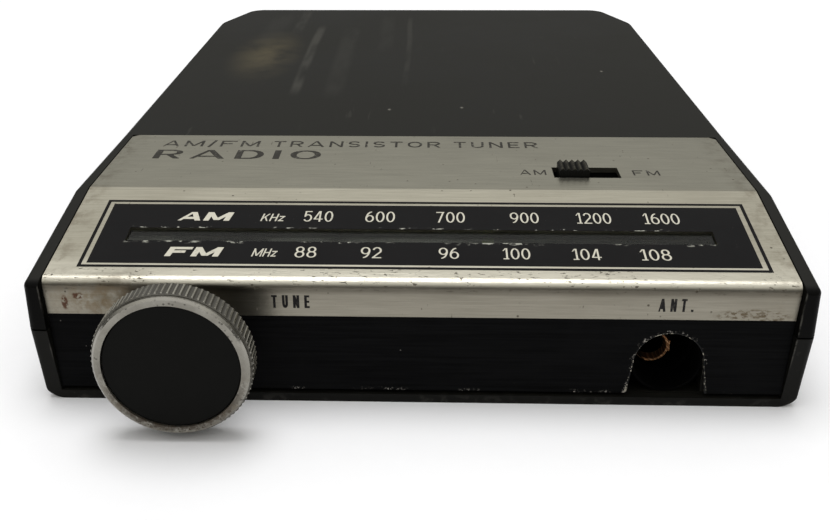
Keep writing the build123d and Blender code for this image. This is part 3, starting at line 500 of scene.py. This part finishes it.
def front_paint(name):
    """Black paint over brushed metal, with small chips round the arch and along the lower edge."""
    m = Finish(name)
    x, z = m.axis("X"), m.axis("Z")
    offset = m.vector("SUBTRACT", m.place, (ARCH_X, FACE_Y, ARCH_Z))
    from_rim = m.maths("ABSOLUTE", m.maths("SUBTRACT", m.vector("LENGTH", offset), ARCH_R + 0.2))
    round_arch = m.steps(from_rim, 0.45, 0.1)
    over = m.steps(z, ARCH_Z - 0.8, ARCH_Z)
    leaning = m.maths("MULTIPLY", m.maths("SUBTRACT", z, PAINT_BOTTOM), -ARCH_LEAN)
    leg_x = m.maths("SUBTRACT", ARCH_X - ARCH_FOOT, leaning)
    from_leg = m.maths("ABSOLUTE", m.maths("SUBTRACT", x, leg_x))
    legs = m.times(m.steps(from_leg, 0.45, 0.12), m.steps(z, 7.0, 6.0))
    foot = m.times(m.steps(z, 2.35, 1.9), m.steps(m.noise(9, 2, seed=8.0), 0.52, 0.60))
    edge = m.most(m.times(round_arch, over), legs, foot)
    share = m.blend(m.steps(x, ARCH_X - 1.5, ARCH_X + 2.5), 0.54, 0.62)
    flecks = m.maths("SUBTRACT", m.noise(0.32, 3, seed=2.0), share)
    chips = m.times(m.steps(flecks, 0.0, 0.05), m.steps(m.noise(1.8, 2, seed=9.0), 0.40, 0.50), edge)
    specks = m.times(m.steps(m.cells(3.1, seed=3.0), 0.035, 0.02),
                     m.steps(m.noise(8, 2, seed=4.0), 0.50, 0.60))
    lines = m.noise(0.30, 3, 0.6, stretch=(40, 1, 1), seed=5.0)
    colour = m.mix(m.steps(lines, 0.3, 0.7), [0.7 * c for c in BLACK_PAINT], [1.5 * c for c in BLACK_PAINT])
    cloud = m.steps(m.noise(12, 4, seed=6.0), 0.5, 0.7)
    colour = m.mix(m.times(cloud, 0.5), colour, (0.0055, 0.0055, 0.0058))
    colour = m.mix(m.most(m.times(chips, 0.8), m.times(specks, 0.4)), colour, (0.32, 0.30, 0.27))
    m.set(Base_Color=colour, Metallic=m.times(chips, 0.6), Specular_IOR_Level=0.02)
    m.set(Roughness=m.steps(lines, 0.2, 0.8, 0.36, 0.50))
    m.bump(lines, 0.004)
    return m.material


def knurled_nickel(name):
    """Dull plated knob: painted shade between the ribs, a painted highlight on the lip's upper half, pits in
    the rim and brown grime round the inlay.
    """
    m = Finish(name, Metallic=1.0)
    x, y, z = m.axis("X"), m.axis("Y"), m.axis("Z")
    offset = m.vector("MULTIPLY", m.vector("SUBTRACT", m.place, KNOB), (1, 0, 1))
    radius = m.vector("LENGTH", offset)
    front = m.steps(y, KNOB_FACE + 0.5, KNOB_FACE + 0.2)
    behind = m.steps(y, KNOB_FACE + 0.70, KNOB_FACE + 0.80)
    groove_shade = m.times(m.steps(radius, KNOB_R - 0.02, KNOB_R - 0.11), behind)
    step_shade = m.times(m.steps(radius, KNOB_R - 0.36, KNOB_R - 0.31),
                   m.between(y, KNOB_FACE + 0.56, KNOB_FACE + 0.76, 0.06))
    lip = m.times(m.steps(radius, KNOB_R - 0.65, KNOB_R - 0.55),
                  m.steps(y, KNOB_FACE + 0.56, KNOB_FACE + 0.46))
    cloud = m.noise(3.0, 4, seed=3.0)
    colour = m.mix(m.steps(cloud, 0.3, 0.7), (0.27, 0.255, 0.22), (0.40, 0.385, 0.34))
    colour = m.mix(m.times(front, 0.60), colour, (0.20, 0.192, 0.168))
    low = m.steps(z, KNOB[2] + 2.0, KNOB[2] - 8.0)
    ring = m.steps(radius, INLAY_R + 1.1, INLAY_R + 0.2)
    grime = m.times(ring, front, m.blend(low, 0.15, 1.0),
                    m.steps(m.noise(0.9, 5, 0.75, seed=5.0), 0.34, 0.54))
    pits = m.times(m.steps(m.cells(0.60, seed=6.0), 0.30, 0.18),
                   m.steps(m.noise(2.2, 3, seed=7.0), 0.46, 0.54))
    specks = m.times(front, low, m.steps(radius, INLAY_R + 1.3, INLAY_R + 0.5),
                     m.steps(m.noise(0.34, 3, 0.6, seed=30.0), 0.52, 0.58))
    stain = m.times(front, low, m.steps(m.noise(1.6, 4, 0.7, seed=8.0), 0.50, 0.66))
    colour = m.mix(m.times(m.most(grime, specks), 0.90), colour, (0.036, 0.022, 0.010))
    colour = m.mix(m.times(stain, 0.55), colour, (0.13, 0.105, 0.07))
    colour = m.mix(m.times(pits, 0.75), colour, (0.05, 0.045, 0.035))
    # a painted highlight on the upper half of the lip
    colour = m.mix(m.times(lip, m.steps(z, KNOB[2], KNOB[2] + 7.0), 0.4), colour, (0.48, 0.46, 0.42))
    # painted shade darkens the grooves between the ribs and the step behind the lip
    colour = m.mix(m.times(m.most(groove_shade, m.times(step_shade, 0.8)), 0.94), colour, (0.030, 0.027, 0.020))
    dirt_and_shade = m.most(m.times(grime, 0.8), groove_shade, m.times(pits, 0.7), m.times(step_shade, 0.6))
    m.set(Base_Color=colour, Metallic=m.blend(dirt_and_shade, 1.0, 0.2))
    m.set(Roughness=m.blend(dirt_and_shade, m.blend(lip, 0.27, 0.16), 0.60))
    m.bump(m.noise(0.35, 3, seed=9.0), 0.010)
    return m.material


def ridged_button(name):
    """Black moulding with its ridges rubbed to a dull brown grey."""
    m = Finish(name, Roughness=0.42, Specular_IOR_Level=0.12)
    tops = m.times(m.steps(m.axis("Z"), TOP + 1.0, TOP + 1.7),
                   m.steps(m.noise(0.8, 4, 0.65, seed=2.0), 0.25, 0.65))
    m.set(Base_Color=m.mix(tops, (0.0045, 0.0045, 0.0040), (0.095, 0.088, 0.066)))
    m.bump(m.noise(0.25, 3, seed=3.0), 0.010)
    return m.material


def old_bronze(name):
    """Tarnished spring contact: braided copper on its right side, and painted shade makes it nearly black at
    the upper left.
    """
    m = Finish(name, Metallic=0.85, Roughness=0.42)
    x, z = m.axis("X"), m.axis("Z")
    side = m.maths("ADD", m.maths("SUBTRACT", x, ARCH_X - 1.1),
                   m.times(m.maths("SUBTRACT", ARCH_Z - 0.5, z), 0.6))
    phase = m.maths("ADD", m.maths("MULTIPLY", m.maths("ADD", x, z), 9.0), m.times(m.noise(1.0, 2), 3.0))
    twist = m.maths("SINE", phase)
    # painted shade: the contact goes nearly black towards the upper left, and its bright strands show only on
    # the lit side
    colour = m.mix(m.steps(side, -0.6, 1.2), (0.035, 0.022, 0.013), (0.36, 0.17, 0.075))
    colour = m.mix(m.times(m.steps(twist, 0.0, 0.8), m.steps(side, 0.2, 1.2)), colour, (0.60, 0.34, 0.17))
    m.set(Base_Color=colour)
    m.bump(twist, 0.05)
    return m.material


def scratched_lens(name):
    """Clear plastic gone hazy, with fine lines along its length, its lower half painted lighter as painted
    light and its upper half left dark as painted shade.
    """
    m = Finish(name, IOR=1.25, Specular_IOR_Level=0.3)
    lines = m.noise(0.35, 4, 0.6, stretch=(35, 1, 1), seed=2.0)
    # painted light: the lower half is painted lighter and made hazier, and the upper half stays dark as
    # painted shade
    lit_lower_half = m.steps(m.axis("Y"), FACE_Y + BEND - 11.6, FACE_Y + BEND - 12.2)
    colour = m.mix(m.steps(lines, 0.35, 0.65), (0.13, 0.145, 0.115), (0.26, 0.28, 0.23))
    m.set(Base_Color=m.mix(m.times(lit_lower_half, 0.55), colour, (0.36, 0.38, 0.33)))
    haze = m.times(m.steps(m.noise(6, 4, 0.65, stretch=(2.5, 1, 1), seed=6.0), 0.40, 0.62),
                   m.blend(lit_lower_half, 0.3, 1.0))
    m.set(Transmission_Weight=m.steps(haze, 0.0, 1.0, 0.985, 0.90))
    m.set(Roughness=m.steps(m.noise(4, 4, seed=3.0), 0.35, 0.65, 0.10, 0.22))
    m.bump(lines, 0.001)
    return m.material


def worn_print(name, ink, worn, share):
    """Printed ink with thin and rubbed places."""
    m = Finish(name, Roughness=0.6, Specular_IOR_Level=0.2)
    thin = m.times(m.steps(m.noise(0.5, 3, seed=3.0), 0.52, 0.66),
                   m.steps(m.noise(8, 2, seed=4.0), 0.38, 0.60))
    m.set(Base_Color=m.mix(m.times(thin, share), ink, worn))
    m.bump(m.noise(0.2, 2, seed=5.0), 0.004)
    return m.material


def plain(name, colour, rough=0.5, metal=0.0, spread=0.15, **more):
    """A simple finish with slight mottling and a fine relief."""
    m = Finish(name, Metallic=metal, Roughness=rough, **more)
    grain = 0.3
    darker = [c * (1 - spread) for c in colour]
    lighter = [min(1, c * (1 + spread)) for c in colour]
    m.set(Base_Color=m.mix(m.noise(grain * 8, 4, seed=1.0), darker, lighter))
    m.bump(m.noise(grain, 3, seed=2.0), 0.006)
    return m.material


SHELL = black_plastic("case_black_plastic", (0.0088, 0.0086, 0.0070))
ALUMINIUM = brushed_aluminium("front_brushed_aluminium")
DIAL_PAINT = dial_paint("dial_black_paint")
FRONT_PAINT = front_paint("front_black_paint")
CREAM = worn_print("dial_cream_print", (0.56, 0.535, 0.45), (0.30, 0.285, 0.24), 0.5)
FRONT_PRINT = worn_print("front_black_print", (0.006, 0.005, 0.005), (0.10, 0.095, 0.08), 0.25)
ROOF_PRINT = worn_print("top_black_print", (0.022, 0.020, 0.016), (0.20, 0.19, 0.16), 0.60)
LENS = scratched_lens("window_hazy_plastic")
KNOB_METAL = knurled_nickel("knob_dull_nickel")
INLAY = plain("knob_black_inlay", (0.0048, 0.0048, 0.0042), 0.45, Specular_IOR_Level=0.05)
BUTTON = ridged_button("switch_black_plastic")
SWITCH_STEEL = plain("switch_blackened_steel", (0.006, 0.006, 0.006), 0.6, Specular_IOR_Level=0.1)
POINTER = plain("pointer_yellow_green", (0.42, 0.50, 0.09), 0.5)
DARK = plain("inside_black_moulding", (0.012, 0.012, 0.012), 0.6)
# the aerial cup is made near-black and almost without sheen, as painted shade inside it
CUP = plain("aerial_cup_painted_shade", (0.0015, 0.0015, 0.0015), 0.9, Specular_IOR_Level=0.03)
BRONZE = old_bronze("contact_old_bronze")
STEEL = plain("plated_steel", (0.55, 0.55, 0.53), 0.35, 1.0)
BRASS = plain("turned_brass", (0.62, 0.45, 0.18), 0.3, 1.0)
NYLON = plain("white_nylon", (0.70, 0.68, 0.60), 0.5)
BOARD = plain("brown_board", (0.26, 0.13, 0.04), 0.45)
TIN = plain("tinned_can", (0.62, 0.61, 0.58), 0.3, 1.0)
FERRITE = plain("dark_ferrite", (0.045, 0.045, 0.05), 0.6)
COPPER = plain("enamelled_copper", (0.55, 0.20, 0.07), 0.3, 1.0)
BLUE = plain("capacitor_blue_sleeve", (0.03, 0.08, 0.26), 0.3)
TAN = plain("resistor_tan", (0.42, 0.26, 0.12), 0.4)
OCHRE = plain("ceramic_ochre", (0.46, 0.25, 0.06), 0.5)
CORD = plain("dial_cord_fibre", (0.42, 0.36, 0.22), 0.8)
HEAD = plain("polished_head", (0.42, 0.42, 0.40), 0.22, 1.0)
JACKET = plain("battery_jacket", (0.20, 0.03, 0.02), 0.3)
RED = plain("lead_red", (0.35, 0.01, 0.01), 0.4)

COATS = {
    SHELL: ("upper_shell", "lower_shell", "battery_door"),
    ALUMINIUM: ("front_plate",),
    LENS: ("dial_lens",),
    POINTER: ("dial_pointer",),
    KNOB_METAL: ("tuning_knob",),
    INLAY: ("knob_inlay",),
    BUTTON: ("switch_button",),
    STEEL: ("case_screws", "tuning_shaft", "shaft_clip", "shaft_bracket", "pulley_posts", "cord_spring",
            "head_bracket", "plunger_spring"),
    SWITCH_STEEL: ("switch_frame",),
    BRASS: ("shaft_bushing", "bushing_nut", "capacitor_spindle"),
    BRONZE: ("socket_contact",),
    CUP: ("antenna_socket",),
    DARK: ("dial_backplate", "rod_holders", "battery_connector", "power_switch", "transistors"),
    NYLON: ("idler_pulley_left", "idler_pulley_right", "dial_drum", "tuning_capacitor", "power_plunger"),
    BOARD: ("circuit_board",),
    TIN: ("if_transformers",),
    FERRITE: ("tuning_cores", "ferrite_rod"),
    COPPER: ("antenna_coil",),
    BLUE: ("electrolytic_capacitors",),
    TAN: ("resistors",),
    OCHRE: ("ceramic_capacitors",),
    CORD: ("dial_cord",),
    HEAD: ("coupling_head",),
    JACKET: ("battery",),
    RED: ("battery_leads",),
}
for coat, names in COATS.items():
    for node_name in names:
        for material_slot in NODES[node_name].material_slots:
            material_slot.material = coat


def soften(node_name, width):
    """Rounds a CAD piece's sharp edges a little, as on a real moulding or pressing."""
    obj = NODES[node_name]
    flat = obj.modifiers.new("flat faces joined", "DECIMATE")
    flat.decimate_type = "DISSOLVE"
    flat.angle_limit = math.radians(0.2)
    edge = obj.modifiers.new("edges", "BEVEL")
    edge.width = width * MM
    edge.segments = 2
    edge.limit_method = "ANGLE"
    edge.angle_limit = math.radians(28)
    edge.harden_normals = True


for node_name, width in (("upper_shell", 0.28), ("lower_shell", 0.28), ("switch_button", 0.10)):
    soften(node_name, width)


# ---- print -----------------------------------------------------------------------------------------
def down_slope(shapes):
    """Shapes whose second value is the distance down the slope, turned to face up the slope."""
    return [[(x, -s) for x, s in reversed(shape)] for shape in shapes]


def frame_of(x0, x1, y0, y1, line):
    """A rectangle drawn as a line."""
    return [rectangle(x0, x1, y0, y0 + line), rectangle(x0, x1, y1 - line, y1),
            rectangle(x0, x0 + line, y0, y1), rectangle(x1 - line, x1, y0, y1)]


def add_dial():
    """Black panel round the window, its border line and the scale."""
    x0, x1, s0, s1 = DIAL
    left, right, upper, lower = WINDOW
    panel = [rectangle(x0, x1, s0, upper), rectangle(x0, x1, lower, s1),
             rectangle(x0, left, s0, s1), rectangle(right, x1, s0, s1)]
    slope = slope_frame()
    print_on("dial_panel", down_slope(panel), slope, DIAL_PAINT)
    print_on("dial_border", down_slope(frame_of(*BORDER, BORDER_LINE)), slope, DIAL_PAINT)
    am_scale = {"540": (-16.2, -12.1), "600": (-7.55, -3.4), "700": (2.4, 6.4), "900": (12.7, 16.7),
                "1200": (21.9, 26.75), "1600": (31.2, 36.2)}
    fm_scale = {"88": (-16.5, -13.6), "92": (-7.7, -4.9), "96": (2.7, 5.4), "100": (11.2, 14.85),
                "104": (20.4, 24.2), "108": (29.35, 33.4)}
    shapes = []
    for scale, foot, height in ((am_scale, -8.7, 2.6), (fm_scale, -17.15, 2.45)):
        for text, (start, end) in scale.items():
            shapes += words(text, start, end, foot, height, thick=0.128, thin=0.078, gap=0.13)
    for text, foot in (("KHz", -8.65), ("MHz", -17.0)):
        shapes += words(text, -22.25, -18.75, foot, 1.8, thick=0.16, thin=0.12, gap=0.16, lean=0.22)
    for text, foot in (("AM", -8.65), ("FM", -17.1)):
        shapes += words(text, -33.9, -26.2, foot, 2.1, wide=1.60, thick=0.38, thin=0.25, gap=0.18, lean=0.22)
    print_on("dial_scale", shapes, slope, CREAM, lift=INK)


def add_labels():
    """Black words on the bare metal."""
    face, roof = face_frame(), roof_frame()
    narrow = dict(height=1.85, wide=0.62, thick=0.20, thin=0.15, gap=0.40)
    shapes = words("TUNE", -18.95, -14.0, 14.2, **narrow) + words("ANT.", 30.9, 35.35, 14.2, **narrow)
    print_on("front_labels", shapes, face, FRONT_PRINT)
    light = dict(wide=1.35, thick=0.19, thin=0.12, gap=0.42)
    shapes = words("AM", 15.2, 19.15, 28.05, 2.0, **light) + words("FM", 32.3, 36.3, 28.05, 2.0, **light)
    shapes += words("AM/FM TRANSISTOR TUNER", -42.5, 19.0, 40.0, 2.7, **light)
    shapes += words("RADIO", -42.8, -16.0, 34.3, 3.9, wide=1.4, thick=0.25, thin=0.09, gap=0.40)
    print_on("top_labels", shapes, roof, ROOF_PRINT)


def add_front_paint():
    """Black paint on the upright face, round the shaft hole and the arch."""
    kx, kz, hole = KNOB[0], KNOB[2], SHAFT_HOLE_R
    top = math.degrees(math.asin((STRIP_Z - kz) / hole))
    top_half = PAINT_HALF + PAINT_FLARE
    left = [(-PAINT_HALF, PAINT_BOTTOM), (kx, PAINT_BOTTOM)]
    left += arc(kx, kz, hole, hole, -90, -180 - top) + [(-top_half, STRIP_Z)]
    print_on("front_paint_left", [left], face_frame(), FRONT_PAINT)
    rim, foot = ARCH_R + 0.12, ARCH_FOOT + 0.1
    right = [(kx, PAINT_BOTTOM), (ARCH_X - foot, PAINT_BOTTOM)] + arc(ARCH_X, ARCH_Z, rim, rim, 180, 0)
    right += [(ARCH_X + foot, PAINT_BOTTOM), (PAINT_HALF, PAINT_BOTTOM), (top_half, STRIP_Z)]
    right += arc(kx, kz, hole, hole, top, -90)
    print_on("front_paint_right", [right], face_frame(), FRONT_PAINT)


def add_plunger_spring():
    """Coil of the power switch's spring, as long as the spring part."""
    low, high = (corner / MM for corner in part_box("plunger_spring"))
    middle, length, wire = (low + high) / 2, high.y - low.y, SPRING_WIRE_R
    radius = (high.x - low.x) / 2 - wire
    sides, steps = 8, 24 * SPRING_TURNS
    around = [2 * math.pi * k / sides for k in range(sides)]
    bm, rings = bmesh.new(), []
    for i in range(steps + 1):
        turn = 2 * math.pi * SPRING_TURNS * i / steps
        outward = Vector((math.cos(turn), 0, math.sin(turn)))
        y = low.y + wire + (length - 2 * wire) * i / steps
        centre = Vector((middle.x, y, middle.z)) + radius * outward
        rings.append([bm.verts.new(centre + wire * (math.cos(b) * outward + Vector((0, math.sin(b), 0))))
                      for b in around])
    for ring, following in zip(rings, rings[1:]):
        for k in range(sides):
            bm.faces.new((ring[k - 1], ring[k], following[k], following[k - 1])).smooth = True
    bm.faces.new(rings[0])
    bm.faces.new(reversed(rings[-1]))
    bmesh.ops.recalc_face_normals(bm, faces=bm.faces)
    bm.transform(Matrix.Scale(MM, 4))
    coil = piece("plunger_spring_coil", bm, STEEL)
    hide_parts("plunger_spring")
    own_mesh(coil)


add_dial()
add_labels()
add_front_paint()
add_plunger_spring()


# ---- studio ----------------------------------------------------------------------------------------
def add_floor():
    """Plain pale floor, 6 m across."""
    bm = bmesh.new()
    bmesh.ops.create_grid(bm, x_segments=1, y_segments=1, size=3.0)
    mesh = bpy.data.meshes.new("floor")
    bm.to_mesh(mesh)
    bm.free()
    floor = bpy.data.objects.new("floor", mesh)
    bpy.context.scene.collection.objects.link(floor)
    mesh.materials.append(plain("floor_white", (0.91, 0.91, 0.93), 0.7, spread=0.01))


def add_sky():
    """Soft studio light: grey near the horizon and bright overhead."""
    world = bpy.data.worlds.new("studio")
    bpy.context.scene.world = world
    world.use_nodes = True
    tree = world.node_tree
    place = tree.nodes.new("ShaderNodeTexCoord").outputs["Generated"]
    split = tree.nodes.new("ShaderNodeSeparateXYZ")
    ramp = tree.nodes.new("ShaderNodeValToRGB")
    tree.links.new(place, split.inputs[0])
    tree.links.new(split.outputs["Z"], ramp.inputs[0])
    tree.links.new(ramp.outputs[0], tree.nodes["Background"].inputs["Color"])
    elements = ramp.color_ramp.elements
    for element, position, level in ((elements[0], 0.0, 0.10), (elements[1], 1.0, 0.98),
                                     (elements.new(0.24), 0.24, 0.20), (elements.new(0.40), 0.40, 0.49),
                                     (elements.new(0.72), 0.72, 0.82)):
        element.position, element.color = position, (level, 0.995 * level, 0.945 * level, 1)
    tree.nodes["Background"].inputs["Strength"].default_value = 1.05


def add_light(name, place, target, size, power):
    """A round soft light, aimed at the target; places in metres."""
    data = bpy.data.lights.new(name, "AREA")
    data.shape, data.size, data.energy = "DISK", size, power
    light = bpy.data.objects.new(name, data)
    light.location = place
    light.rotation_euler = (Vector(target) - Vector(place)).to_track_quat("-Z", "Y").to_euler()
    bpy.context.scene.collection.objects.link(light)


def add_camera():
    """Camera in front of the object and above it, looking down at the sloping dial."""
    pitch, yaw, roll = (math.radians(a) for a in (23.90, 1.946, 0.368))
    right = Vector((math.cos(yaw), math.sin(yaw), 0))
    ahead = Vector((-math.sin(yaw), math.cos(yaw), 0))
    down = Vector((0, 0, -1))
    tilt = Matrix.Rotation(-pitch, 3, right)
    ahead, down = tilt @ ahead, tilt @ down
    twist = Matrix.Rotation(roll, 3, ahead)
    right, down = twist @ right, twist @ down
    data = bpy.data.cameras.new("camera")
    data.sensor_width, data.lens = 36.0, 42.77
    data.shift_x, data.shift_y = 0.0197, -0.0498
    data.clip_start, data.clip_end = 0.01, 50
    camera = bpy.data.objects.new("camera", data)
    place = Vector((1.42, FACE_Y - 111.92, 76.61)) * MM
    turned = Matrix((right, -down, -ahead)).transposed().to_4x4()
    camera.matrix_world = Matrix.Translation(place) @ turned
    bpy.context.scene.collection.objects.link(camera)
    bpy.context.scene.camera = camera


add_floor()
add_sky()
add_light("overhead", (-0.05, 0.12, 1.5), (0, 0, 0), 1.0, 11.0)
add_camera()

bpy.context.scene.view_settings.view_transform = "Standard"
